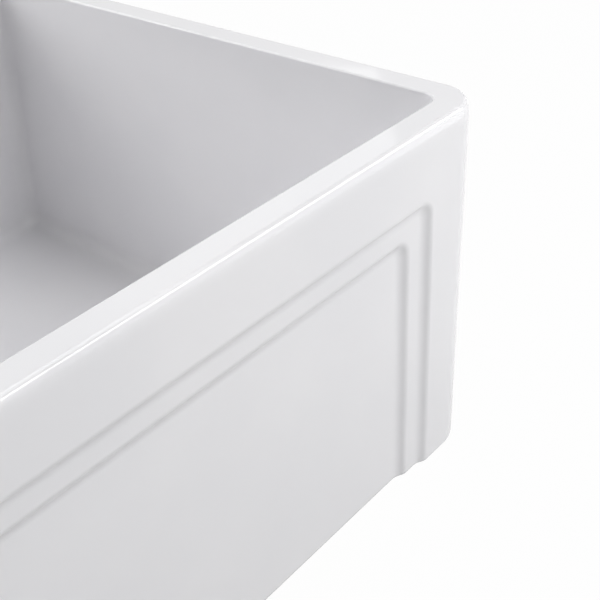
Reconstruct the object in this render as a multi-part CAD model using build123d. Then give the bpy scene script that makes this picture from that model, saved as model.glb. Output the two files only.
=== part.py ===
from build123d import *

import os
from math import cos, pi, radians, sqrt, tan

# Apron-front kitchen sink: a one-piece fireclay basin with a basket strainer and tailpiece.
# Millimetres. +Z is up, +X is to the right of someone standing at the sink, the apron faces -Y.
# The origin is the centre of the flat underside, on the axis of the drain.

# Basin
basin_width = 762.0
basin_depth = 483.0
basin_height = 254.0
rim_width = 20.0
floor_thickness = 23.0
side_draft = 6.0  # each end wall leans in by this much from the rim to the underside
bowl_draft = 7.0  # each wall of the bowl leans in by this much from the rim to the floor
outer_corner_radius = 27.5
bowl_corner_radius = 14.0
bowl_floor_radius = 13.0
rim_outer_radius = 4.5
rim_inner_radius = 2.5
underside_radius = 4.0

# Recessed apron panel, two soft steps deep, open at the bottom
panel_top_inset = 51.1  # middle of the outer step, down from the rim
panel_side_inset = 59.1  # middle of the outer step, in from the end of the basin
panel_band_width = 20.2  # middle of the outer step to middle of the inner step
panel_step_depth = 3.4
panel_step_slope = 36.0  # degrees between the step's face and the apron's face
panel_corner_radius = 11.5
step_lip_radius = 6.0
step_root_radius = 9.0

# Drain opening in the basin
drain_hole_radius = 45.0
drain_edge_radius = 1.5
seat_edge_radius = 1.0
washer_recess_depth = 2.0  # of the flat recess in the underside that takes the washers
washer_recess_gap = 2.0  # between the washers and the edge of that recess
dish_width = 137.0  # from the edge of the flange's seat to the outside of the dished floor
dish_drop = 3.0

# Strainer body, pressed from sheet
sheet = 1.2
flange_width = 12.0  # from the edge of the drain hole to the edge of the flange
flange_edge_gap = 1.0
putty_thickness = 1.2
collar_gap = 1.2  # between the strainer's collar and the drain hole
collar_height = 13.0
collar_bend_radius = 2.4
ledge_width = 2.6
ledge_bend_radius = 0.9
bowl_bend_radius = 7.0
bowl_floor_fall = 4.0
neck_bend_radius = 2.4
neck_length = 21.0
throat_radius = 21.6
thread_pitch = 2.3
thread_height = 1.0
thread_gap = 0.1

# Parts that clamp the strainer under the basin
rubber_washer_thickness = 3.0
fibre_washer_thickness = 1.0
washer_reach = 12.0  # how far the washers reach past the edge of the drain hole
washer_edge_radius = 0.6
locknut_height = 13.0
locknut_wall = 6.0
locknut_flange_thickness = 2.5
locknut_lug_reach = 5.5
locknut_lug_width = 11.0
locknut_lug_radius = 2.0
locknut_lugs = 8

# Tailpiece and its coupling
tube_radius = 19.05
tube_wall = 1.2
tube_length = 101.6
tube_flange_thickness = 1.5
tube_washer_thickness = 2.4
nut_flats = 58.0
nut_height = 21.0
nut_lip_thickness = 3.0
nut_lip_gap = 1.2

# Basket
basket_sheet = 0.8
basket_rim_gap = 0.6  # between the edge of the basket's rim and the collar
basket_rim_width = 3.6
basket_rim_bend_radius = 1.6
basket_seat_gap = 0.3
basket_depth = 24.0
basket_wall_lean = 5.0
basket_bend_radius = 4.0
slot_width = 3.2
slot_length = 9.0
slot_count = 24
floor_hole_radius = 1.8
floor_hole_pitch = 7.4
floor_hole_rings = 3

# Hub in the middle of the basket, which guides and grips the post
post_radius = 4.0
post_gap = 0.05
hub_wall = 2.4
hub_fit_gap = 0.1  # between the hub and what is pushed over it
hub_flange_width = 3.0
hub_flange_thickness = 1.6
hub_collar_height = 5.5
grip_ring_thickness = 1.7
retainer_width = 3.0
retainer_thickness = 1.6
retainer_edge_radius = 0.3

# Knob, post and stopper
stopper_travel = 9.0
stopper_seat_gap = 0.3
stopper_rest_gap = 0.3
knob_rise = 4.0  # top of the raised knob above the floor round the drain
knob_radius = 10.0
knob_height = 9.0
knob_crown_thickness = 4.0
knob_crown_edge_radius = 1.6
knob_waist_radius = 5.6
post_end_radius = 2.5
post_end_length = 5.0
plate_radius = 21.0
plate_thickness = 1.2
seal_radius = 28.0
seal_thickness = 3.0
seal_lip_drop = 1.5
seal_lip_width = 2.0
acorn_flats = 10.0
acorn_hex_height = 4.0
acorn_dome_radius = 4.6

# Radii that follow from the sizes above
flange_radius = drain_hole_radius + flange_width
seat_radius = flange_radius + flange_edge_gap
dish_radius = seat_radius + dish_width
washer_radius = drain_hole_radius + washer_reach
washer_recess_radius = washer_radius + washer_recess_gap
collar_middle = drain_hole_radius - collar_gap - sheet / 2
barrel_middle = collar_middle - ledge_width
barrel_radius = barrel_middle + sheet / 2
barrel_thread_radius = barrel_radius + thread_height
neck_middle = throat_radius + sheet / 2
neck_radius = throat_radius + sheet
neck_thread_radius = neck_radius + thread_height
tube_bore_radius = tube_radius - tube_wall
basket_rim_radius = collar_middle - sheet / 2 - basket_rim_gap
basket_mouth_radius = basket_rim_radius - basket_rim_width
basket_foot_radius = basket_mouth_radius - basket_wall_lean
hub_bore_radius = post_radius + post_gap
hub_radius = hub_bore_radius + hub_wall
hub_flange_radius = hub_radius + hub_flange_width
grip_ring_middle = hub_bore_radius + grip_ring_thickness / 2

# Heights that follow from the sizes above, from the basin's floor down
drain_floor = floor_thickness - dish_drop
flange_bottom = drain_floor - sheet
seat_level = flange_bottom - putty_thickness
ledge_top = drain_floor - collar_height
ledge_face_rise = sheet / 2 * (sqrt(2) - 1)  # the ledge slopes at 45 degrees
basket_rim_bottom = ledge_top + ledge_face_rise - basket_rim_gap + basket_seat_gap * sqrt(2)
basket_floor_bottom = basket_rim_bottom - basket_depth
basket_floor_top = basket_floor_bottom + basket_sheet
hub_foot = basket_floor_bottom - retainer_thickness
plate_top = hub_foot - stopper_rest_gap
seal_top = plate_top - plate_thickness
seal_bottom = seal_top - seal_thickness
seal_lip = seal_bottom - seal_lip_drop
stopper_seat = seal_lip - stopper_travel - stopper_seat_gap
bowl_floor_slope = bowl_floor_fall / (barrel_middle - neck_middle)
bowl_floor_half = sheet / 2 * sqrt(1 + bowl_floor_slope**2)
neck_top = stopper_seat - bowl_floor_half - (seal_radius - neck_middle) * bowl_floor_slope
neck_bottom = neck_top - neck_length
rubber_washer_bottom = washer_recess_depth - rubber_washer_thickness
fibre_washer_bottom = rubber_washer_bottom - fibre_washer_thickness
locknut_bottom = fibre_washer_bottom - locknut_height
tube_washer_bottom = neck_bottom - tube_washer_thickness
tube_flange_bottom = tube_washer_bottom - tube_flange_thickness
tube_bottom = tube_flange_bottom - tube_length
nut_bottom = tube_flange_bottom - nut_lip_thickness
nut_top = nut_bottom + nut_height
knob_top = drain_floor + knob_rise
knob_bottom = knob_top - knob_height

FROM_BELOW = (Align.CENTER, Align.CENTER, Align.MIN)


def outline(*points):
    """A filled outline through (radius, height) points."""
    return make_face(Polyline(*points, close=True))


def turned(shape):
    """Turn a shape drawn as (radius, height) about the drain's axis."""
    return revolve(Plane.XZ * shape, Axis.Z)


def pressed(thickness, bends, *points):
    """Sheet metal turned about the drain's axis, with one radius for each bend of its middle line."""
    return turned(trace(FilletPolyline(*points, radius=bends), thickness))


def disc(radius, bottom, top):
    """A disc on the drain's axis, between two heights."""
    return Pos(0, 0, bottom) * Cylinder(radius, top - bottom, align=FROM_BELOW)


def ring(inner_radius, outer_radius, bottom, top):
    """A ring about the drain's axis, between two heights."""
    return disc(outer_radius, bottom, top) - disc(inner_radius, bottom, top)


def soft_ring(inner_radius, outer_radius, bottom, top, edge_radius):
    """A ring about the drain's axis with rounded edges."""
    solid = ring(inner_radius, outer_radius, bottom, top)
    return fillet(solid.edges().filter_by(GeomType.CIRCLE), edge_radius)


def around(shape, count):
    """Copies of a shape, spaced evenly about the drain's axis."""
    return [Rot(0, 0, number * 360 / count) * shape for number in range(count)]


def thread(root, top, bottom):
    """Ridges of a screw thread on a barrel of radius root, between two heights."""
    turns = int((top - bottom) / thread_pitch)
    points = [(root - sheet / 2, top)]
    for turn in range(turns):
        crest = top - (turn + 0.5) * thread_pitch
        points.append((root, crest + thread_pitch / 2))
        points.append((root + thread_height, crest + thread_pitch / 10))
        points.append((root + thread_height, crest - thread_pitch / 10))
    points.append((root, top - turns * thread_pitch))
    points.append((root - sheet / 2, top - turns * thread_pitch))
    return turned(outline(*points))


def level_block(lower, upper, lower_size, upper_size, radius):
    """A block with rounded corners whose size changes evenly between two heights."""
    foot = Pos(0, 0, lower) * RectangleRounded(*lower_size, radius)
    head = Pos(0, 0, upper) * RectangleRounded(*upper_size, radius)
    return loft([foot, head], ruled=True)


def basin_outside():
    """The outside of the basin: upright apron and back, end walls that lean in downwards."""
    foot_size = (basin_width - 2 * side_draft, basin_depth)
    head_size = (basin_width, basin_depth)
    return level_block(0, basin_height, foot_size, head_size, outer_corner_radius)


def bowl_space():
    """The space inside the bowl, with its rounded floor edge."""
    head_size = (basin_width - 2 * rim_width, basin_depth - 2 * rim_width)
    foot_size = (head_size[0] - 2 * bowl_draft, head_size[1] - 2 * bowl_draft)
    space = level_block(floor_thickness, basin_height, foot_size, head_size, bowl_corner_radius)
    return fillet(space.faces().sort_by(Axis.Z)[0].edges(), bowl_floor_radius)


def drain_opening():
    """The dished floor, the flange's seat, the hole and the washers' recess, as one turned space."""
    above = basin_height / 2
    edges = (
        (0, above),
        (dish_radius, above),
        (dish_radius, floor_thickness),
        (seat_radius, drain_floor),
        (seat_radius, seat_level),
        (drain_hole_radius, seat_level),
        (drain_hole_radius, washer_recess_depth),
        (washer_recess_radius, washer_recess_depth),
        (washer_recess_radius, 0),
        (0, 0),
    )
    return turned(outline(*edges))


def step_outline(inset):
    """Half width and top of the panel's outline, this far inside the middle of the outer step."""
    half_width = basin_width / 2 - panel_side_inset - inset
    top = basin_height - panel_top_inset - inset
    return half_width, top


def panel_recess(inset, lip_level):
    """One level of the apron's recess, cut from lip_level behind the apron, with a soft root."""
    half_run = panel_step_depth / tan(radians(panel_step_slope)) / 2
    below = 3 * panel_corner_radius
    sections = []
    for level, shrink in ((lip_level, -half_run), (lip_level + panel_step_depth, half_run)):
        half_width, top = step_outline(inset + shrink)
        shape = RectangleRounded(2 * half_width, top + below, panel_corner_radius - shrink)
        centre = (0, level - basin_depth / 2, (top - below) / 2)
        sections.append(Plane(centre, x_dir=(1, 0, 0), z_dir=(0, -1, 0)) * shape)
    recess = loft(sections, ruled=True)
    return fillet(recess.faces().sort_by(Axis.Y)[-1].edges(), step_root_radius)


def step_lip(body, inset, lip_level):
    """The sharp edges where one level of the recess leaves the surface in front of it."""
    half_run = panel_step_depth / tan(radians(panel_step_slope)) / 2
    half_width, top = step_outline(inset - half_run)
    front = lip_level - basin_depth / 2
    near = 0.01

    def on_lip(edge):
        box = edge.bounding_box()
        flat = abs(box.min.Y - front) < near and abs(box.max.Y - front) < near
        within = box.max.X < half_width + near and box.min.X > -half_width - near
        return flat and within and near < box.max.Z < top + near

    return body.edges().filter_by(on_lip)


def circles(solid, radius, *heights):
    """The circular edges of this radius at these heights."""
    near = 0.01
    found = solid.edges().filter_by(GeomType.CIRCLE)
    found = found.filter_by(lambda edge: abs(edge.radius - radius) < near)
    return found.filter_by(lambda edge: min(abs(edge.center().Z - height) for height in heights) < near)


def basin():
    """The fireclay basin with its bowl, apron panel and drain opening."""
    body = basin_outside()
    for number in range(2):
        inset = number * panel_band_width
        lip_level = number * panel_step_depth
        body -= panel_recess(inset, lip_level)
        body = fillet(step_lip(body, inset, lip_level), step_lip_radius)
    body = fillet(body.faces().sort_by(Axis.Z)[0].edges(), underside_radius)
    body = fillet(body.faces().sort_by(Axis.Z)[-1].edges(), rim_outer_radius)
    body -= bowl_space()
    rim = body.faces().sort_by(Axis.Z)[-1]
    body = fillet(rim.inner_wires()[0].edges(), rim_inner_radius)
    body -= drain_opening()
    body = fillet(circles(body, drain_hole_radius, seat_level, washer_recess_depth), drain_edge_radius)
    body = fillet(circles(body, washer_recess_radius, 0), seat_edge_radius)
    return fillet(circles(body, seat_radius, drain_floor), seat_edge_radius)


def flange_putty():
    """The bed of putty between the strainer's flange and its seat in the basin."""
    inner_radius = drain_hole_radius + drain_edge_radius
    return soft_ring(inner_radius, flange_radius, seat_level, flange_bottom, putty_thickness / 4)


def strainer_body():
    """The pressed strainer body: flange, collar, ledge for the basket, bowl and threaded neck."""
    bends = (collar_bend_radius, ledge_bend_radius, ledge_bend_radius, bowl_bend_radius, neck_bend_radius)
    shell = pressed(
        sheet,
        bends,
        (flange_radius, drain_floor - sheet / 2),
        (collar_middle, drain_floor - sheet / 2),
        (collar_middle, ledge_top),
        (barrel_middle, ledge_top - ledge_width),
        (barrel_middle, neck_top + bowl_floor_fall),
        (neck_middle, neck_top),
        (neck_middle, neck_bottom),
    )
    shell += thread(barrel_radius, rubber_washer_bottom + 2 * thread_pitch, locknut_bottom - 2 * thread_pitch)
    return shell + thread(neck_radius, nut_top + 2 * thread_pitch, neck_bottom)


def body_rubber_washer():
    """The rubber washer in the recess on the underside of the basin."""
    inner_radius = barrel_thread_radius + thread_gap
    top = washer_recess_depth
    return soft_ring(inner_radius, washer_radius, rubber_washer_bottom, top, washer_edge_radius)


def body_fibre_washer():
    """The slippery fibre washer that lets the locknut turn against the rubber."""
    inner_radius = barrel_thread_radius + thread_gap
    return ring(inner_radius, washer_radius, fibre_washer_bottom, rubber_washer_bottom)


def body_locknut():
    """The large nut that clamps the strainer to the basin, with lugs for a spanner."""
    bore_radius = barrel_thread_radius + thread_gap
    wall_radius = bore_radius + locknut_wall
    lug_end = wall_radius + locknut_lug_reach
    flange_underside = fibre_washer_bottom - locknut_flange_thickness
    nut = ring(bore_radius, wall_radius, locknut_bottom, fibre_washer_bottom)
    nut += ring(bore_radius, lug_end, flange_underside, fibre_washer_bottom)
    lug_length = lug_end - (bore_radius + wall_radius) / 2
    lug = Box(lug_length, locknut_lug_width, locknut_height, align=(Align.MAX, Align.CENTER, Align.MIN))
    lug = Pos(lug_end, 0, locknut_bottom) * lug
    lug = fillet(lug.edges().filter_by(Axis.Z).group_by(Axis.X)[-1], locknut_lug_radius)
    lug = fillet(lug.faces().sort_by(Axis.Z)[0].edges().group_by(Axis.X)[-1], locknut_lug_radius / 2)
    nut += around(lug, locknut_lugs)
    rim = disc(lug_end, locknut_bottom, fibre_washer_bottom)
    return nut & rim


def tailpiece_washer():
    """The soft washer between the strainer's neck and the tailpiece's flange."""
    outer_radius = neck_thread_radius - thread_gap
    return soft_ring(tube_bore_radius, outer_radius, tube_washer_bottom, neck_bottom, washer_edge_radius)


def tailpiece():
    """The flanged tube that carries the water down to the trap."""
    flange = ring(tube_bore_radius, neck_thread_radius - thread_gap, tube_flange_bottom, tube_washer_bottom)
    return flange + ring(tube_bore_radius, tube_radius, tube_bottom, tube_washer_bottom)


def tailpiece_nut():
    """The six-sided coupling nut that pulls the tailpiece up against the neck."""
    hexagon = RegularPolygon(nut_flats / 2, 6, major_radius=False)
    nut = Pos(0, 0, nut_bottom) * extrude(hexagon, nut_height)
    corner_radius = nut_flats / 2 / cos(pi / 6)
    chamfer = (corner_radius - nut_flats / 2) * tan(radians(30))
    envelope = outline(
        (0, nut_bottom),
        (nut_flats / 2, nut_bottom),
        (corner_radius, nut_bottom + chamfer),
        (corner_radius, nut_top - chamfer),
        (nut_flats / 2, nut_top),
        (0, nut_top),
    )
    nut &= turned(envelope)
    nut -= disc(neck_thread_radius + thread_gap, tube_flange_bottom, nut_top)
    return nut - disc(tube_radius + nut_lip_gap, nut_bottom, tube_flange_bottom)


def basket_slots():
    """Upright slots through the wall of the basket."""
    middle = (basket_rim_bottom + basket_floor_bottom) / 2
    slot = extrude(Plane.YZ * SlotOverall(slot_length, slot_width, rotation=90), basket_rim_radius)
    return around(Pos(0, 0, middle) * slot, slot_count)


def basket_floor_holes():
    """Rings of round holes through the floor of the basket, as even as each ring allows."""
    hole = disc(floor_hole_radius, basket_floor_bottom - basket_sheet, basket_floor_top + basket_sheet)
    holes = []
    for number in range(floor_hole_rings):
        radius = hub_flange_radius + floor_hole_pitch * (1 + number * sqrt(3)) / 2
        count = int(2 * pi * radius / floor_hole_pitch)
        holes += around(Pos(radius, 0, 0) * hole, count)
    return holes


def basket_cup():
    """The perforated cup that catches scraps, hung on the ledge inside the strainer body."""
    rim_level = basket_rim_bottom + basket_sheet / 2
    floor_level = basket_floor_bottom + basket_sheet / 2
    cup = pressed(
        basket_sheet,
        (basket_rim_bend_radius, basket_bend_radius),
        (basket_rim_radius, rim_level),
        (basket_mouth_radius, rim_level),
        (basket_foot_radius, floor_level),
        (hub_radius + hub_fit_gap, floor_level),
    )
    return cup - basket_slots() - basket_floor_holes()


def basket_hub():
    """The bush in the middle of the basket that guides the post, with a groove for its grip ring."""
    collar_radius = hub_radius + hub_flange_width / 3
    collar_top = basket_floor_top + hub_collar_height
    groove = grip_ring_thickness + 2 * post_gap
    groove_bottom = basket_floor_top + (hub_collar_height - groove) / 2
    bush = disc(hub_radius, hub_foot, collar_top)
    bush += disc(hub_flange_radius, basket_floor_top, basket_floor_top + hub_flange_thickness)
    bush += disc(collar_radius, basket_floor_top, collar_top)
    bush = fillet(circles(bush, collar_radius, collar_top), hub_flange_thickness / 4)
    bush -= disc(hub_bore_radius, hub_foot, collar_top)
    groove_radius = hub_bore_radius + grip_ring_thickness + post_gap
    return bush - disc(groove_radius, groove_bottom, groove_bottom + groove)


def hub_grip_ring():
    """The rubber ring in the hub's groove whose grip holds the post where it is put."""
    middle = basket_floor_top + hub_collar_height / 2
    return Pos(0, 0, middle) * Torus(grip_ring_middle, grip_ring_thickness / 2)


def hub_retainer():
    """The push-on ring under the basket that holds the hub in."""
    inner_radius = hub_radius + hub_fit_gap
    outer_radius = hub_radius + retainer_width
    return soft_ring(inner_radius, outer_radius, hub_foot, basket_floor_bottom, retainer_edge_radius)


def stopper_knob():
    """The knob on the post, with room for fingertips under its crown."""
    crown = disc(knob_radius, knob_top - knob_crown_thickness, knob_top)
    crown = fillet(crown.edges().filter_by(GeomType.CIRCLE), knob_crown_edge_radius)
    knob = crown + disc(knob_waist_radius, knob_bottom, knob_top - knob_crown_thickness / 2)
    socket_radius = post_end_radius + thread_gap
    return knob - disc(socket_radius, knob_bottom, knob_bottom + post_end_length + thread_gap)


def stopper_post():
    """The rod from the knob down through the hub, with a thinner threaded end at each end."""
    rod = disc(post_radius, plate_top, knob_bottom)
    rod += disc(post_end_radius, knob_bottom, knob_bottom + post_end_length)
    return rod + disc(post_end_radius, seal_bottom - acorn_hex_height, plate_top)


def stopper_plate():
    """The stiff disc that backs the seal."""
    return soft_ring(post_end_radius + thread_gap, plate_radius, seal_top, plate_top, plate_thickness / 4)


def stopper_seal():
    """The rubber disc whose lip closes the drain."""
    inner_radius = post_end_radius + thread_gap
    shape = outline(
        (inner_radius, seal_bottom),
        (inner_radius, seal_top),
        (plate_radius, seal_top),
        (seal_radius, seal_lip + seal_lip_width),
        (seal_radius, seal_lip),
        (seal_radius - seal_lip_width, seal_lip),
        (plate_radius - seal_lip_width, seal_bottom),
    )
    return turned(shape)


def stopper_nut():
    """The domed nut under the seal that holds the stopper together."""
    hex_bottom = seal_bottom - acorn_hex_height
    hexagon = RegularPolygon(acorn_flats / 2, 6, major_radius=False)
    nut = Pos(0, 0, hex_bottom) * extrude(hexagon, acorn_hex_height)
    dome = Pos(0, 0, hex_bottom) * Sphere(acorn_dome_radius)
    nut += dome & disc(acorn_dome_radius, hex_bottom - acorn_dome_radius, hex_bottom)
    return nut - disc(post_end_radius + thread_gap, hex_bottom - thread_gap, seal_bottom)


pieces = (
    basin,
    flange_putty,
    strainer_body,
    body_rubber_washer,
    body_fibre_washer,
    body_locknut,
    tailpiece_washer,
    tailpiece,
    tailpiece_nut,
    basket_cup,
    basket_hub,
    hub_grip_ring,
    hub_retainer,
    stopper_knob,
    stopper_post,
    stopper_plate,
    stopper_seal,
    stopper_nut,
)

os.makedirs("parts", exist_ok=True)
for piece in pieces:
    export_step(piece(), f"parts/{piece.__name__}.step")
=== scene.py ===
"""A white fireclay apron-front sink with its basket strainer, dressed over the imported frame."""

import math
from typing import NamedTuple

import bmesh
import bpy
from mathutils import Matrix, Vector


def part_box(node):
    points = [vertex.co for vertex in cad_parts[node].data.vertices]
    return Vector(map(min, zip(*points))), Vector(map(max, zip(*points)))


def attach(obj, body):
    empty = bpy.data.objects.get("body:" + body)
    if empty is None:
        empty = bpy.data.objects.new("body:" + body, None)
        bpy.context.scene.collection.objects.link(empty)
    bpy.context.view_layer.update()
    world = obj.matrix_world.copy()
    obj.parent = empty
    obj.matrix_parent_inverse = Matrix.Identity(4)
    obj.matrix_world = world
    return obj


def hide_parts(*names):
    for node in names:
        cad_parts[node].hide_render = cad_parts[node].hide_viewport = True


bl_info = {
    "name": "Apron-Front Sink",
    "version": (1, 0, 0),
    "blender": (4, 5, 0),
    "location": "3D View > Sidebar > Sink",
    "description": "Models a fireclay apron-front sink and finishes its drain fitting",
    "category": "Object",
}

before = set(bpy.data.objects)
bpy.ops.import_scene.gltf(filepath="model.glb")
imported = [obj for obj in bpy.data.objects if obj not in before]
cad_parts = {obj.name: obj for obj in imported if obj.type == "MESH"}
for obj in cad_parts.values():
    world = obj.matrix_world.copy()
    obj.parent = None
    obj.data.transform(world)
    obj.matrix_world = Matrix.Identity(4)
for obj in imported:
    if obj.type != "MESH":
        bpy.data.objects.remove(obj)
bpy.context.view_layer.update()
basin_top_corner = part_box("basin")[1]
fitting_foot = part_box("tailpiece")[0].z

NEAR = 1e-5  # points closer than this count as one
Y_AXIS = 1
Z_AXIS = 2
QUARTER_TURN = math.radians(90)

# The walls run on below the underside and are cut off level. Each step of the panel starts a little
# higher in that skirt than the one in front of it, so that their lower edges stay apart.
SKIRT = 0.06
FIRST_STEP_START = 0.01
NEXT_STEP_START = 0.015

# Flat faces that stand in for each curve of the basin
OUTER_CORNER_FACES = 30
RIM_EDGE_FACES = 14
RIM_INNER_FACES = 8
BOWL_CORNER_FACES = 16
BOWL_FOOT_FACES = 14
PANEL_CORNER_FACES = 10
STEP_LIP_FACES = 6
STEP_ROOT_FACES = 7
UNDERSIDE_EDGE_FACES = 6
DISH_EDGE_FACES = 6
SEAT_EDGE_FACES = 4
HOLE_EDGE_FACES = 5
ROUND_SIDES = 128

SHARP_EDGE = math.radians(38)  # edges that turn more than this are shaded sharp
FLAT_FACE_WEIGHT = 100  # large flat faces stay evenly shaded up to their curved edges

FLOOR_SIZE = 30
FLOOR_GAP = 0.0005  # between the floor and the tailpiece's foot
LAMP_AIM = Vector((0.2, -0.1, 0.15))
SENSOR_WIDTH = 36  # millimetres
NEAREST_SEEN = 0.02
FURTHEST_SEEN = 100


class Softbox(NamedTuple):
    """A soft lamp, at a bearing from straight in front and a climb from level, in degrees."""

    name: str
    bearing: float
    climb: float
    distance: float
    width: float
    height: float
    watts: float


LAMPS = (
    Softbox("front", bearing=2, climb=14, distance=1.5, width=0.9, height=0.9, watts=2.5),
    Softbox("low_front", bearing=34, climb=0, distance=1.5, width=1.6, height=0.6, watts=3.1),
    Softbox("high_front", bearing=20, climb=44, distance=1.5, width=0.9, height=0.9, watts=7.0),
    Softbox("strip", bearing=33, climb=13, distance=1.5, width=1.06, height=0.2, watts=4.8),
    Softbox("top", bearing=60, climb=70, distance=3.0, width=1.6, height=1.6, watts=27.1),
    Softbox("back", bearing=145, climb=46, distance=3.0, width=2.4, height=2.4, watts=13.0),
    Softbox("back_left", bearing=205, climb=25, distance=3.0, width=2.0, height=2.0, watts=30.8),
    Softbox("left", bearing=235, climb=30, distance=3.0, width=2.4, height=2.4, watts=34.6),
)


# Properties


def length(name, description, default):
    """A length that a user may change."""
    return bpy.props.FloatProperty(
        name=name, description=description, default=default, min=0.0, precision=4, unit="LENGTH"
    )


def share(name, description, default):
    """A share from 0 to 1 that a user may change."""
    return bpy.props.FloatProperty(
        name=name, description=description, default=default, min=0.0, max=1.0, subtype="FACTOR"
    )


def colour(name, description, default):
    """A colour that a user may change."""
    return bpy.props.FloatVectorProperty(
        name=name,
        description=description,
        default=default,
        min=0.0,
        max=1.0,
        size=3,
        subtype="COLOR",
    )


class SinkShape(bpy.types.PropertyGroup):
    """Sizes of the fireclay basin."""

    height: length("Height", "Underside to rim", basin_top_corner.z)
    half_width: length("Half width", "Middle to the widest point of an end", basin_top_corner.x)
    half_depth: length("Half depth", "Middle to the face of the apron", basin_top_corner.y)
    side_draft: length("End draft", "How far each end leans in from rim to underside", 0.006)
    outer_corner: length("Outer corner", "Radius of the upright outer corners", 0.0275)
    rim_width: length("Rim width", "Width of the flat rim with its rounded edges", 0.0202)
    rim_edge_across: length("Rim edge across", "Rounding of the outer edge, across the rim", 0.0036)
    rim_edge_down: length("Rim edge down", "Rounding of the outer edge, down the walls", 0.0115)
    rim_inner_edge: length("Rim inner edge", "Radius of the rim's inner edge", 0.0016)
    bowl_draft: length("Bowl draft", "How far the bowl's walls lean in from rim to floor", 0.007)
    bowl_corner: length("Bowl corner", "Radius of the bowl's upright corners", 0.012)
    bowl_foot: length("Bowl foot", "Radius between the bowl's walls and its floor", 0.013)
    floor_level: length("Floor", "Height of the bowl's floor above the underside", 0.023)
    underside_edge: length("Underside edge", "Radius round the underside", 0.004)
    panel_top: length("Panel top", "Rim to the middle of the panel's outer step", 0.0504)
    panel_side: length("Panel side", "End of the basin to the middle of the outer step", 0.0598)
    panel_band: length("Panel band", "Middle of the outer step to middle of the inner step", 0.0195)
    step_depth: length("Step depth", "Depth of each step of the panel", 0.0034)
    step_lip: length("Step lip", "Radius where a step leaves the surface in front of it", 0.0072)
    step_root: length("Step root", "Radius where a step meets the surface behind it", 0.013)
    panel_corner: length("Panel corner", "Radius of each step's corners, at its middle", 0.0085)
    step_slope: bpy.props.FloatProperty(
        name="Step slope",
        description="Angle between a step and the apron",
        default=math.radians(31),
        subtype="ANGLE",
    )
    dish_radius: length("Dish radius", "Outside of the floor's fall to the drain", 0.195)
    dish_edge: length("Dish edge", "Length over which the floor bends down into its fall", 0.012)
    dish_drop: length("Dish drop", "Fall of the floor from there to the drain", 0.003)
    seat_radius: length("Seat radius", "Radius of the recess for the strainer's flange", 0.058)
    seat_edge: length("Seat edge", "Radius of the edges of that recess and the washers'", 0.001)
    seat_level: length("Seat level", "Height of the recess above the underside", 0.0176)
    hole_radius: length("Hole radius", "Radius of the drain hole", 0.045)
    hole_edge: length("Hole edge", "Radius of the drain hole's edges", 0.0015)
    washer_recess_radius: length("Washer recess radius", "Radius of the underside's recess", 0.059)
    washer_recess_depth: length("Washer recess depth", "Depth of the underside's recess", 0.002)


class SinkFinish(bpy.types.PropertyGroup):
    """Colours and gloss of the sink and its fitting."""

    glaze: colour("Glaze", "White of the glaze", (0.862, 0.857, 0.874))
    glaze_shade: colour("Glaze shade", "White where the glaze lies thicker", (0.833, 0.83, 0.85))
    glaze_roughness: share("Glaze roughness", "Blur of reflections in the glaze", 0.07)
    glaze_index: bpy.props.FloatProperty(
        name="Glaze index", description="Refractive index of the glaze", default=1.56, min=1.0
    )
    bare_clay: colour("Bare clay", "Unglazed clay of the underside", (0.68, 0.62, 0.52))
    stainless: colour("Stainless", "Pressed stainless steel", (0.60, 0.60, 0.59))
    chrome: colour("Chrome", "Plated trim", (0.78, 0.79, 0.80))
    zinc: colour("Zinc", "Cast locknut", (0.46, 0.46, 0.45))
    rubber: colour("Rubber", "Washer and seal", (0.018, 0.018, 0.019))
    nylon: colour("Nylon", "Tailpiece washer", (0.78, 0.76, 0.70))
    putty: colour("Putty", "Putty under the flange", (0.46, 0.40, 0.30))
    fibre: colour("Fibre", "Slip washer", (0.27, 0.13, 0.07))


class SinkStage(bpy.types.PropertyGroup):
    """Camera and floor."""

    camera_place: bpy.props.FloatVectorProperty(
        name="Camera place",
        description="Where the camera stands",
        default=(-0.16919, -0.55278, 0.52421),
        precision=5,
        subtype="TRANSLATION",
    )
    camera_turn: bpy.props.FloatVectorProperty(
        name="Camera turn",
        description="How the camera is turned",
        default=(math.radians(61.0446), math.radians(3.6801), math.radians(-47.7478)),
        precision=5,
        subtype="EULER",
    )
    camera_lens: bpy.props.FloatProperty(
        name="Camera lens", description="Focal length", default=66.047, min=1.0, unit="CAMERA"
    )
    camera_shift: bpy.props.FloatVectorProperty(
        name="Camera shift",
        description="Shift of the picture, as a share of its width",
        default=(0.11933, -0.1525),
        size=2,
    )
    floor_colour: colour("Floor colour", "Plain pale floor", (0.6, 0.6, 0.6))
    floor_white: share("Floor white", "Share of plain white in the floor, to the camera", 0.98)
    # Painted shade: reflections see less of the floor's white near the sink, rising to this share
    # at the reach.
    floor_reflected: share("Floor reflected", "Share of that in reflections far from the sink", 0.9)
    floor_shade_reach: length("Floor reach", "How far from the sink reflections have that share", 0.3)


# Modelling helpers


def rest():
    """Leave edit mode and select nothing."""
    if bpy.context.mode != "OBJECT":
        bpy.ops.object.mode_set(mode="OBJECT")
    bpy.ops.object.select_all(action="DESELECT")


def settle(piece):
    """Put the piece's object at the origin, unturned and unscaled, with its place in its mesh."""
    rest()
    piece.select_set(True)
    bpy.context.view_layer.objects.active = piece
    bpy.ops.object.transform_apply(location=True, rotation=True, scale=True)


def pick(piece, kind, wanted):
    """Select only the points, edges or faces of the piece being edited that pass a test."""
    bpy.ops.mesh.select_mode(type=kind)
    bpy.ops.mesh.select_all(action="DESELECT")
    shape = bmesh.from_edit_mesh(piece.data)
    for element in {"VERT": shape.verts, "EDGE": shape.edges, "FACE": shape.faces}[kind]:
        if wanted(element):
            element.select_set(True)
    shape.select_flush_mode()
    bmesh.update_edit_mesh(piece.data)


def pick_all(piece, kind):
    """Select every point, edge or face of the piece being edited."""
    pick(piece, kind, lambda element: True)


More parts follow.
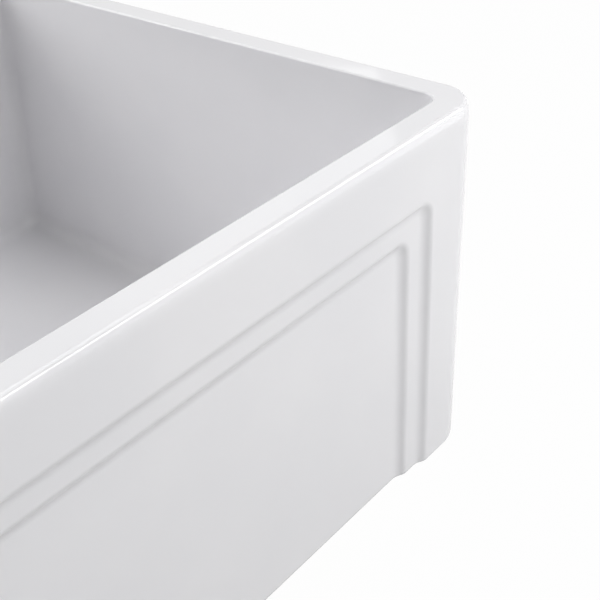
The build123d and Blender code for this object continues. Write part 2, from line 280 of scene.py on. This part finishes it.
def all_at(element, axis, level):
    """Whether every point of an edge or face lies at a level along an axis."""
    return all(abs(point.co[axis] - level) < NEAR for point in element.verts)


def open_to_edit(name, scale=(1, 1, 1)):
    """Name and scale the new primitive and open it for editing."""
    piece = bpy.context.object
    piece.name = name
    piece.data.name = name
    piece.scale = scale
    settle(piece)
    bpy.ops.object.mode_set(mode="EDIT")
    return piece


def plate(name, width, height, place, turn=(0, 0, 0)):
    """A flat rectangle to model from."""
    rest()
    bpy.ops.mesh.primitive_plane_add(size=1, location=place, rotation=turn)
    return open_to_edit(name, (width, height, 1))


def round_plate(name, radius, place, turn=(0, 0, 0)):
    """A flat disc to model from, with its face selected."""
    rest()
    bpy.ops.mesh.primitive_circle_add(
        vertices=ROUND_SIDES, radius=radius, fill_type="NGON", location=place, rotation=turn
    )
    piece = open_to_edit(name)
    pick_all(piece, "FACE")
    return piece


def round_corners(piece, radius, faces, wanted=lambda point: True):
    """Round corners of a flat plate and select its face."""
    pick(piece, "VERT", wanted)
    bpy.ops.mesh.bevel(offset_type="OFFSET", offset=radius, segments=faces, affect="VERTICES")
    pick_all(piece, "FACE")


def run(distance, heading):
    """Carry the selected face on: a heading of 0 is inwards, a quarter turn is along its normal."""
    bpy.ops.mesh.inset(thickness=distance * math.cos(heading), depth=distance * math.sin(heading))


def bend(radius, first, last, faces):
    """Carry the selected face round an arc, from one heading to another."""
    reach = math.copysign(radius, last - first)
    for number in range(faces):
        start = first + (last - first) * number / faces
        stop = first + (last - first) * (number + 1) / faces
        bpy.ops.mesh.inset(
            thickness=reach * (math.sin(stop) - math.sin(start)),
            depth=reach * (math.cos(start) - math.cos(stop)),
        )


def roll_over(across, down, faces):
    """Carry the selected face round a quarter of an ellipse, from along its normal to inwards."""
    for number in range(faces):
        start = QUARTER_TURN * number / faces
        stop = QUARTER_TURN * (number + 1) / faces
        bpy.ops.mesh.inset(
            thickness=across * (math.cos(start) - math.cos(stop)),
            depth=down * (math.sin(stop) - math.sin(start)),
        )


def open_face():
    """Take out the selected face and leave its edges."""
    bpy.ops.mesh.delete(type="ONLY_FACE")


def join(pieces):
    """Make one piece of several and open it for editing."""
    rest()
    for piece in pieces:
        piece.select_set(True)
    bpy.context.view_layer.objects.active = pieces[0]
    bpy.ops.object.join()
    bpy.ops.object.mode_set(mode="EDIT")
    return pieces[0]


def close_flat(piece, axis, level):
    """Fill the flat area bounded by the open edges at one level along an axis."""
    pick(piece, "EDGE", lambda edge: edge.is_boundary and all_at(edge, axis, level))
    bpy.ops.mesh.fill(use_beauty=False)


def finish_shell(piece):
    """Close up, face outwards and shade a finished shell."""
    bpy.ops.mesh.select_mode(type="VERT")
    bpy.ops.mesh.select_all(action="SELECT")
    bpy.ops.mesh.remove_doubles(threshold=NEAR)
    bpy.ops.mesh.normals_make_consistent(inside=False)
    shape = bmesh.from_edit_mesh(piece.data)
    gaps = sum(not edge.is_manifold for edge in shape.edges)
    if gaps:
        raise RuntimeError(f"{piece.name} has {gaps} open or doubled edges")
    settle(piece)
    bpy.ops.object.shade_smooth_by_angle(angle=SHARP_EDGE)
    even = piece.modifiers.new("even shading", "WEIGHTED_NORMAL")
    even.mode = "FACE_AREA"
    even.weight = FLAT_FACE_WEIGHT
    even.keep_sharp = True
    bpy.ops.object.modifier_apply(modifier=even.name)


# Basin


def outside_walls(shape):
    """The four outside walls and the rim's outer edge, open at the top, with a skirt below."""
    lean = shape.side_draft / shape.height
    top = shape.height - shape.rim_edge_down
    narrowing = lean * (top + SKIRT)
    walls = plate(
        "fireclay_basin", 2 * (shape.half_width - narrowing), 2 * shape.half_depth, (0, 0, -SKIRT)
    )
    round_corners(walls, shape.outer_corner, OUTER_CORNER_FACES)
    bpy.ops.mesh.extrude_region_move(TRANSFORM_OT_translate={"value": (0, 0, top + SKIRT)})
    for side in (-1, 1):
        pick(walls, "VERT", lambda point: point.co.z > top - NEAR and point.co.x * side > 0)
        bpy.ops.transform.translate(value=(side * narrowing, 0, 0))
    pick(walls, "FACE", lambda face: all_at(face, Z_AXIS, top))
    roll_over(shape.rim_edge_across, shape.rim_edge_down, RIM_EDGE_FACES)
    open_face()
    return walls


def panel_step(shape, number):
    """One step down to the apron's panel. The last step keeps the panel as its middle."""
    slope = shape.step_slope
    lip_reach = shape.step_lip * math.tan(slope / 2)
    root_reach = shape.step_root * math.tan(slope / 2)
    straight = shape.step_depth / math.sin(slope) - lip_reach - root_reach
    reach = shape.step_depth / math.tan(slope) / 2 + lip_reach
    inset = number * shape.panel_band - reach
    half = shape.half_width - shape.panel_side - inset
    top = shape.height - shape.panel_top - inset
    foot = -SKIRT + FIRST_STEP_START + number * NEXT_STEP_START
    front = -shape.half_depth + number * shape.step_depth
    step = plate(
        "panel_step", 2 * half, top - foot, (0, front, (top + foot) / 2), (QUARTER_TURN, 0, 0)
    )
    round_corners(
        step, shape.panel_corner + reach, PANEL_CORNER_FACES, lambda point: point.co.z > 0
    )
    bend(shape.step_lip, 0, -slope, STEP_LIP_FACES)
    run(straight, -slope)
    bend(shape.step_root, -slope, 0, STEP_ROOT_FACES)
    if number == 0:
        open_face()
    return step


def bowl(shape):
    """The inside of the bowl with the rim's inner edge, open at the top and at the floor."""
    lean = math.atan2(shape.bowl_draft, shape.height - shape.floor_level)
    upright = QUARTER_TURN - lean
    edge_reach = shape.rim_inner_edge * math.tan(upright / 2)
    foot_reach = shape.bowl_foot * math.tan(upright / 2)
    half_width = shape.half_width - shape.rim_width + edge_reach
    half_depth = shape.half_depth - shape.rim_width + edge_reach
    wall_top = shape.height - edge_reach * math.cos(lean)
    wall_foot = shape.floor_level + foot_reach * math.cos(lean)
    inside = plate("bowl", 2 * half_width, 2 * half_depth, (0, 0, shape.height))
    round_corners(inside, shape.bowl_corner + edge_reach, BOWL_CORNER_FACES)
    bend(shape.rim_inner_edge, 0, -upright, RIM_INNER_FACES)
    bpy.ops.mesh.extrude_region_move(TRANSFORM_OT_translate={"value": (0, 0, wall_foot - wall_top)})
    shift = (wall_top - wall_foot) * math.tan(lean)
    for x_side in (-1, 1):
        for y_side in (-1, 1):
            pick(
                inside,
                "VERT",
                lambda point: point.co.z < wall_foot + NEAR
                and point.co.x * x_side > 0
                and point.co.y * y_side > 0,
            )
            bpy.ops.transform.translate(value=(-x_side * shift, -y_side * shift, 0))
    pick(inside, "FACE", lambda face: all_at(face, Z_AXIS, wall_foot))
    bend(shape.bowl_foot, -upright, 0, BOWL_FOOT_FACES)
    open_face()
    return inside


def drain_seat(shape):
    """The dished floor and the flange's seat, down into the drain hole."""
    fall = math.atan2(shape.dish_drop, shape.dish_radius - shape.seat_radius)
    edge = shape.dish_edge
    seat = round_plate("drain_seat", shape.dish_radius + edge / 2, (0, 0, shape.floor_level))
    for number in range(DISH_EDGE_FACES):
        run(edge / DISH_EDGE_FACES, -fall * (number + 0.5) / DISH_EDGE_FACES)
    dish_foot = shape.seat_radius + shape.seat_edge
    run((shape.dish_radius - edge / 2 - dish_foot) / math.cos(fall), -fall)
    bend(shape.seat_edge, -fall, -QUARTER_TURN, SEAT_EDGE_FACES)
    run(shape.floor_level - shape.dish_drop - shape.seat_edge - shape.seat_level, -QUARTER_TURN)
    narrow_to_hole(shape, shape.seat_radius)
    return seat


def washer_recess(shape):
    """The recess for the washers in the underside, up into the drain hole."""
    recess = round_plate(
        "washer_recess",
        shape.washer_recess_radius + shape.seat_edge,
        (0, 0, 0),
        (2 * QUARTER_TURN, 0, 0),
    )
    bend(shape.seat_edge, 0, -QUARTER_TURN, SEAT_EDGE_FACES)
    run(shape.washer_recess_depth - shape.seat_edge, -QUARTER_TURN)
    narrow_to_hole(shape, shape.washer_recess_radius)
    return recess


def narrow_to_hole(shape, radius):
    """Carry the selected face in to the drain hole and over its edge, and open it."""
    run(radius - shape.hole_radius - shape.hole_edge, 0)
    bend(shape.hole_edge, 0, -QUARTER_TURN, HOLE_EDGE_FACES)
    open_face()


def model_basin(shape):
    """The fireclay basin as one closed shell."""
    basin = join([outside_walls(shape), panel_step(shape, 0), panel_step(shape, 1)])
    front = -shape.half_depth
    # The apron's flat face comes out, and is filled again round the outer step.
    pick(basin, "FACE", lambda face: all_at(face, Y_AXIS, front))
    open_face()
    close_flat(basin, Y_AXIS, front)
    close_flat(basin, Y_AXIS, front + shape.step_depth)
    edge = shape.underside_edge
    bpy.ops.mesh.select_mode(type="FACE")
    bpy.ops.mesh.select_all(action="SELECT")
    bpy.ops.mesh.bisect(plane_co=(0, 0, edge), plane_no=(0, 0, 1), use_fill=True, clear_inner=True)
    pick(basin, "FACE", lambda face: all_at(face, Z_AXIS, edge))
    bend(edge, QUARTER_TURN, 0, UNDERSIDE_EDGE_FACES)
    open_face()
    basin = join([basin, bowl(shape), drain_seat(shape), washer_recess(shape)])
    for level in (shape.height, shape.floor_level, 0):
        close_flat(basin, Z_AXIS, level)
    pick(basin, "EDGE", lambda edge: edge.is_boundary)  # the two rings inside the drain hole
    bpy.ops.mesh.bridge_edge_loops()
    finish_shell(basin)
    return basin


# Finishes


class Nodes:
    """A node tree under construction: its nodes are added and joined by the methods."""

    def __init__(self, tree):
        self.tree = tree
        self.tree.nodes.clear()

    def add(self, kind, **settings):
        """Add a node; settings name its properties and its sockets, which also take an output."""
        node = self.tree.nodes.new(kind)
        for name, value in settings.items():
            if hasattr(node, name):
                setattr(node, name, value)
            else:
                self.feed(node.inputs[name.replace("_", " ")], value)
        return node

    def feed(self, socket, value):
        """Set a socket to a value, or join an output to it; a plain colour gets its alpha here."""
        if isinstance(value, bpy.types.NodeSocket):
            self.tree.links.new(value, socket)
        elif isinstance(value, tuple):
            socket.default_value = value + (1.0,) * (len(socket.default_value) - len(value))
        else:
            socket.default_value = value

    def math(self, operation, *values):
        """Arithmetic on values."""
        node = self.add("ShaderNodeMath", operation=operation)
        for socket, value in zip(node.inputs, values):
            self.feed(socket, value)
        return node.outputs[0]

    def vector_math(self, operation, *values):
        """The node that does a sum on vectors."""
        node = self.add("ShaderNodeVectorMath", operation=operation)
        for socket, value in zip(node.inputs, values):
            self.feed(socket, value)
        return node

    def mix_surfaces(self, part, first, second):
        """A surface between two surfaces."""
        node = self.add("ShaderNodeMixShader", Fac=part)
        self.feed(node.inputs[1], first)
        self.feed(node.inputs[2], second)
        return node.outputs[0]


class Finish(Nodes):
    """A material with one surface shader."""

    def __init__(self, name):
        self.material = bpy.data.materials.new(name)
        self.material.use_nodes = True
        super().__init__(self.material.node_tree)
        self.shader = self.add("ShaderNodeBsdfPrincipled")
        self.add("ShaderNodeOutputMaterial", Surface=self.shader.outputs[0])
        self.place = self.add("ShaderNodeTexCoord").outputs["Object"]

    def surface(self, **sockets):
        """Set sockets of the surface shader, and hand over the finished material."""
        for name, value in sockets.items():
            self.feed(self.shader.inputs[name.replace("_", " ")], value)
        return self.material

    def noise(self, scale, detail=2.0, roughness=0.5, vector=None):
        """Cloudy noise from 0 to 1."""
        return self.add(
            "ShaderNodeTexNoise",
            Vector=vector or self.place,
            Scale=scale,
            Detail=detail,
            Roughness=roughness,
        ).outputs["Fac"]

    def remap(self, value, source, target=(0.0, 1.0)):
        """A value's range stretched onto another range, eased and held at its ends."""
        return self.add(
            "ShaderNodeMapRange",
            interpolation_type="SMOOTHSTEP",
            Value=value,
            From_Min=source[0],
            From_Max=source[1],
            To_Min=target[0],
            To_Max=target[1],
        ).outputs["Result"]

    def blend(self, part, first, second, kind="RGBA"):
        """A colour between two colours, or with the kind VALUE a number between two numbers."""
        node = self.add(
            "ShaderNodeMix", data_type={"RGBA": "RGBA", "VALUE": "FLOAT"}[kind], Factor=part
        )
        ends = [socket for socket in node.inputs if socket.type == kind and socket.name != "Factor"]
        self.feed(ends[0], first)
        self.feed(ends[1], second)
        return next(socket for socket in node.outputs if socket.type == kind)

    def mottle(self, part, tone, factor):
        """A colour that drifts between a tone and that tone made lighter or darker by a factor."""
        return self.blend(part, tuple(tone), tuple(factor * value for value in tone))

    def bump(self, height, distance, strength=1.0, under=None):
        """A raised or sunk surface, on top of another bump where one is given."""
        node = self.add("ShaderNodeBump", Height=height, Distance=distance, Strength=strength)
        if under:
            self.feed(node.inputs["Normal"], under)
        return node.outputs["Normal"]

    def round_drain(self, around, across):
        """Place as radius, angle and height about the drain's axis, so that a grain runs round it.

        One scale is for the angle, the other for the radius and the height.
        """
        parts = self.add("ShaderNodeSeparateXYZ", Vector=self.place)
        flat = self.add("ShaderNodeCombineXYZ", X=parts.outputs["X"], Y=parts.outputs["Y"])
        radius = self.vector_math("LENGTH", flat.outputs[0]).outputs["Value"]
        angle = self.math("ARCTAN2", parts.outputs["Y"], parts.outputs["X"])
        return self.add(
            "ShaderNodeCombineXYZ",
            X=self.math("MULTIPLY", radius, across),
            Y=self.math("MULTIPLY", self.math("ABSOLUTE", angle), around),
            Z=self.math("MULTIPLY", parts.outputs["Z"], across),
        ).outputs[0]


def white_glaze(colours):
    """Thick white glaze, with bare fired clay where a face looks straight down."""
    glaze = Finish("white_glaze")
    pooling = glaze.remap(glaze.noise(scale=7.0, detail=3.0), (0.35, 0.65))
    white = glaze.blend(pooling, tuple(colours.glaze), tuple(colours.glaze_shade))
    normal = glaze.add("ShaderNodeNewGeometry").outputs["Normal"]
    facing = glaze.add("ShaderNodeSeparateXYZ", Vector=normal).outputs["Z"]
    bare = glaze.remap(facing, (-0.985, -0.9995))
    grit = glaze.noise(scale=420.0, detail=6.0, roughness=0.7)
    clay = glaze.mottle(grit, colours.bare_clay, 0.8)
    gloss = glaze.remap(
        glaze.noise(scale=28.0),
        (0.3, 0.7),
        (0.8 * colours.glaze_roughness, 1.25 * colours.glaze_roughness),
    )
    wave = glaze.bump(glaze.noise(scale=9.0, detail=1.0), distance=0.00035, strength=0.2)
    skin = glaze.bump(glaze.noise(scale=650.0), distance=0.000005, strength=0.2, under=wave)
    return glaze.surface(
        Base_Color=glaze.blend(bare, white, clay),
        Roughness=glaze.blend(bare, gloss, 0.85, kind="VALUE"),
        IOR=colours.glaze_index,
        Normal=glaze.bump(glaze.math("MULTIPLY", grit, bare), distance=0.0003, under=skin),
    )


def brushed_stainless(colours):
    """Pressed stainless steel with a fine brushed grain round the drain's axis."""
    steel = Finish("brushed_stainless")
    grain = steel.noise(
        scale=1.0, detail=3.0, roughness=0.6, vector=steel.round_drain(around=5.0, across=2600.0)
    )
    shaded = steel.vector_math(
        "SCALE", steel.mottle(steel.noise(scale=60.0, detail=3.0), colours.stainless, 0.88)
    )
    steel.feed(shaded.inputs["Scale"], steel.remap(grain, (0.3, 0.7), (0.9, 1.06)))
    return steel.surface(
        Base_Color=shaded.outputs[0],
        Metallic=1.0,
        Roughness=steel.remap(grain, (0.25, 0.75), (0.20, 0.34)),
        Normal=steel.bump(grain, distance=0.00003, strength=0.5),
    )


def polished_metal(name, tone, roughness):
    """Bright plated metal with faint wipe marks."""
    plating = Finish(name)
    smear = plating.noise(scale=90.0, detail=4.0)
    wipes = plating.noise(scale=1.0, vector=plating.round_drain(around=3.0, across=900.0))
    marks = plating.math("MULTIPLY", smear, wipes)
    return plating.surface(
        Base_Color=plating.mottle(smear, tone, 0.94),
        Metallic=1.0,
        Roughness=plating.remap(marks, (0.1, 0.45), (roughness, 2.2 * roughness)),
        Normal=plating.bump(wipes, distance=0.000006, strength=0.4),
    )


def cast_zinc(colours):
    """Die-cast zinc: dull, mottled and slightly pitted."""
    zinc = Finish("cast_zinc")
    cloud = zinc.noise(scale=160.0, detail=5.0, roughness=0.6)
    pits = zinc.remap(zinc.noise(scale=1100.0, detail=3.0), (0.3, 0.45))
    return zinc.surface(
        Base_Color=zinc.mottle(cloud, colours.zinc, 0.72),
        Metallic=1.0,
        Roughness=zinc.remap(cloud, (0.3, 0.7), (0.38, 0.56)),
        Normal=zinc.bump(pits, distance=0.00006, strength=0.5),
    )


def black_rubber(colours):
    """Matte moulded rubber with a little bloom."""
    rubber = Finish("black_rubber")
    bloom = rubber.noise(scale=70.0, detail=5.0, roughness=0.65)
    return rubber.surface(
        Base_Color=rubber.mottle(rubber.remap(bloom, (0.45, 0.75)), colours.rubber, 2.6),
        Roughness=rubber.remap(bloom, (0.3, 0.7), (0.55, 0.72)),
        Normal=rubber.bump(rubber.noise(scale=2400.0), distance=0.00002, strength=0.6),
    )


def moulded_nylon(colours):
    """Milky moulded nylon."""
    nylon = Finish("white_nylon")
    cloud = nylon.noise(scale=120.0)
    return nylon.surface(
        Base_Color=nylon.mottle(cloud, colours.nylon, 0.93),
        Roughness=nylon.remap(cloud, (0.3, 0.7), (0.32, 0.42)),
        Normal=nylon.bump(nylon.noise(scale=900.0), distance=0.00002, strength=0.4),
    )


def plumbers_putty(colours):
    """Soft putty with thumbed lumps and oil."""
    putty = Finish("putty")
    lumps = putty.noise(scale=240.0, detail=4.0)
    return putty.surface(
        Base_Color=putty.mottle(lumps, colours.putty, 0.78),
        Roughness=putty.remap(lumps, (0.3, 0.7), (0.5, 0.8)),
        Normal=putty.bump(lumps, distance=0.0003, strength=0.6),
    )


def pressed_fibre(colours):
    """Pressed vulcanised fibre with short paper strands."""
    fibre = Finish("fibre")
    stretched = fibre.add("ShaderNodeMapping", Vector=fibre.place, Scale=(260.0, 1500.0, 1500.0))
    strands = fibre.noise(scale=1.0, detail=5.0, roughness=0.7, vector=stretched.outputs[0])
    return fibre.surface(
        Base_Color=fibre.mottle(strands, colours.fibre, 1.9),
        Roughness=fibre.remap(strands, (0.3, 0.7), (0.6, 0.85)),
        Normal=fibre.bump(strands, distance=0.00008, strength=0.7),
    )


# Stage


def set_lamp(box):
    """Put up a soft lamp that shines on the sink."""
    light = bpy.data.lights.new(box.name, "AREA")
    light.shape = "RECTANGLE"
    light.size = box.width
    light.size_y = box.height
    light.energy = box.watts
    bearing = math.radians(box.bearing)
    climb = math.radians(box.climb)
    outward = Vector(
        (math.sin(bearing) * math.cos(climb), -math.cos(bearing) * math.cos(climb), math.sin(climb))
    )
    lamp = bpy.data.objects.new(box.name, light)
    lamp.location = LAMP_AIM + box.distance * outward
    lamp.rotation_euler = outward.to_track_quat("Z", "Y").to_euler()
    bpy.context.scene.collection.objects.link(lamp)


def seen_white(nodes, surface, white, reflected=None):
    """Show white in place of a surface to the camera and in reflections, there in part if asked."""
    path = nodes.add("ShaderNodeLightPath")
    seen = path.outputs["Is Camera Ray"]
    for name in ("Is Glossy Ray", "Is Transmission Ray"):
        mirrored = path.outputs[name]
        if reflected is not None:
            mirrored = nodes.math("MULTIPLY", mirrored, reflected)
        seen = nodes.math("MAXIMUM", seen, mirrored)
    return nodes.mix_surfaces(seen, surface, white)


def white_past_painted_shade(nodes, reach, part):
    """Rise from nothing under the sink's edge to a part at a reach from it: painted shade, so
    reflections show less of the white floor near the sink, where its shade falls.
    """
    place = nodes.add("ShaderNodeTexCoord").outputs["Object"]
    folded = nodes.vector_math("ABSOLUTE", place).outputs[0]
    edge = (basin_top_corner.x, basin_top_corner.y, 0.0)
    past = nodes.vector_math("SUBTRACT", folded, edge).outputs[0]
    parts = nodes.add("ShaderNodeSeparateXYZ", Vector=past)
    further = nodes.math("MAXIMUM", parts.outputs["X"], parts.outputs["Y"])
    return nodes.add("ShaderNodeMapRange", Value=further, From_Max=reach, To_Max=part).outputs[0]


def set_floor(stage):
    """Lay a pale floor that is nearly white to the camera and keeps the sink's shadow, with painted
    shade near the sink in reflections.
    """
    floor = plate("floor", FLOOR_SIZE, FLOOR_SIZE, (0, 0, fitting_foot - FLOOR_GAP))
    settle(floor)
    paint = bpy.data.materials.new("pale_floor")
    paint.use_nodes = True
    nodes = Nodes(paint.node_tree)
    lit = nodes.add("ShaderNodeBsdfDiffuse", Color=tuple(stage.floor_colour)).outputs[0]
    white = nodes.add("ShaderNodeEmission").outputs[0]
    shadowed = nodes.mix_surfaces(stage.floor_white, lit, white)
    # Painted shade: near the sink, reflections see the lit floor instead of the white, standing in
    # for the sink's shade on the floor.
    reflected = white_past_painted_shade(nodes, stage.floor_shade_reach, stage.floor_reflected)
    nodes.add("ShaderNodeOutputMaterial", Surface=seen_white(nodes, lit, shadowed, reflected))
    floor.data.materials.clear()
    floor.data.materials.append(paint)


def set_world(scene):
    """Surround the scene with white that the camera and reflections see and that gives no light."""
    world = bpy.data.worlds.new("studio")
    world.use_nodes = True
    nodes = Nodes(world.node_tree)
    dark = nodes.add("ShaderNodeBackground", Strength=0.0).outputs[0]
    white = nodes.add("ShaderNodeBackground", Color=(1.0, 1.0, 1.0), Strength=1.0).outputs[0]
    nodes.add("ShaderNodeOutputWorld", Surface=seen_white(nodes, dark, white))
    scene.world = world


def set_camera(scene, stage):
    """Look at the sink from its front left."""
    lens = bpy.data.cameras.new("view")
    lens.sensor_width = SENSOR_WIDTH
    lens.lens = stage.camera_lens
    lens.shift_x, lens.shift_y = stage.camera_shift
    lens.clip_start = NEAREST_SEEN
    lens.clip_end = FURTHEST_SEEN
    camera = bpy.data.objects.new("view", lens)
    camera.location = stage.camera_place
    camera.rotation_euler = stage.camera_turn
    scene.collection.objects.link(camera)
    scene.camera = camera


# Operators


class SINK_OT_model_basin(bpy.types.Operator):
    """Model the fireclay basin and glaze it"""

    bl_idname = "sink.model_basin"
    bl_label = "Basin"

    def execute(self, context):
        basin = model_basin(context.scene.sink_shape)
        basin.data.materials.clear()
        basin.data.materials.append(white_glaze(context.scene.sink_finish))
        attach(basin, "root")
        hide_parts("basin")
        return {"FINISHED"}


class SINK_OT_finish_fitting(bpy.types.Operator):
    """Give every part of the drain fitting its finish"""

    bl_idname = "sink.finish_fitting"
    bl_label = "Drain fitting finishes"

    def execute(self, context):
        colours = context.scene.sink_finish
        trim = polished_metal("polished_trim", colours.chrome, roughness=0.05)
        steel = brushed_stainless(colours)
        rubber = black_rubber(colours)
        finishes = {
            "flange_putty": plumbers_putty(colours),
            "strainer_body": steel,
            "body_rubber_washer": rubber,
            "body_fibre_washer": pressed_fibre(colours),
            "body_locknut": cast_zinc(colours),
            "tailpiece_washer": moulded_nylon(colours),
            "tailpiece": polished_metal("polished_tube", colours.chrome, roughness=0.045),
            "tailpiece_nut": polished_metal("polished_nut", colours.chrome, roughness=0.07),
            "basket_cup": steel,
            "basket_hub": trim,
            "hub_grip_ring": rubber,
            "hub_retainer": trim,
            "stopper_knob": trim,
            "stopper_post": trim,
            "stopper_plate": steel,
            "stopper_seal": rubber,
            "stopper_nut": trim,
        }
        for name, finish in finishes.items():
            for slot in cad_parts[name].material_slots:
                slot.material = finish
        return {"FINISHED"}


class SINK_OT_set_stage(bpy.types.Operator):
    """Set up the floor, the world, the lamps and the camera"""

    bl_idname = "sink.set_stage"
    bl_label = "Stage"

    def execute(self, context):
        scene = context.scene
        set_floor(scene.sink_stage)
        set_world(scene)
        for box in LAMPS:
            set_lamp(box)
        set_camera(scene, scene.sink_stage)
        scene.view_settings.view_transform = "Standard"
        return {"FINISHED"}


STEPS = (SINK_OT_model_basin, SINK_OT_finish_fitting, SINK_OT_set_stage)
GROUPS = {"sink_shape": SinkShape, "sink_finish": SinkFinish, "sink_stage": SinkStage}


class SINK_PT_sidebar(bpy.types.Panel):
    """The sink's sizes, colours and stage, and a button for each step, in the sidebar"""

    bl_idname = "SINK_PT_sidebar"
    bl_label = "Apron-Front Sink"
    bl_space_type = "VIEW_3D"
    bl_region_type = "UI"
    bl_category = "Sink"

    def draw(self, context):
        for step, (group, kind) in zip(STEPS, GROUPS.items()):
            box = self.layout.box()
            for name in kind.__annotations__:
                box.prop(getattr(context.scene, group), name)
            box.operator(step.bl_idname)


CLASSES = (*GROUPS.values(), *STEPS, SINK_PT_sidebar)


def register():
    """Register every class, and give the scene its groups of properties."""
    for item in CLASSES:
        bpy.utils.register_class(item)
    for group, kind in GROUPS.items():
        setattr(bpy.types.Scene, group, bpy.props.PointerProperty(type=kind))


def unregister():
    """Undo what register did, in the opposite order."""
    for group in reversed(GROUPS):
        delattr(bpy.types.Scene, group)
    for item in reversed(CLASSES):
        bpy.utils.unregister_class(item)


def main():
    """Make the whole scene."""
    register()
    bpy.ops.sink.model_basin()
    bpy.ops.sink.finish_fitting()
    bpy.ops.sink.set_stage()


if __name__ == "__main__":
    main()
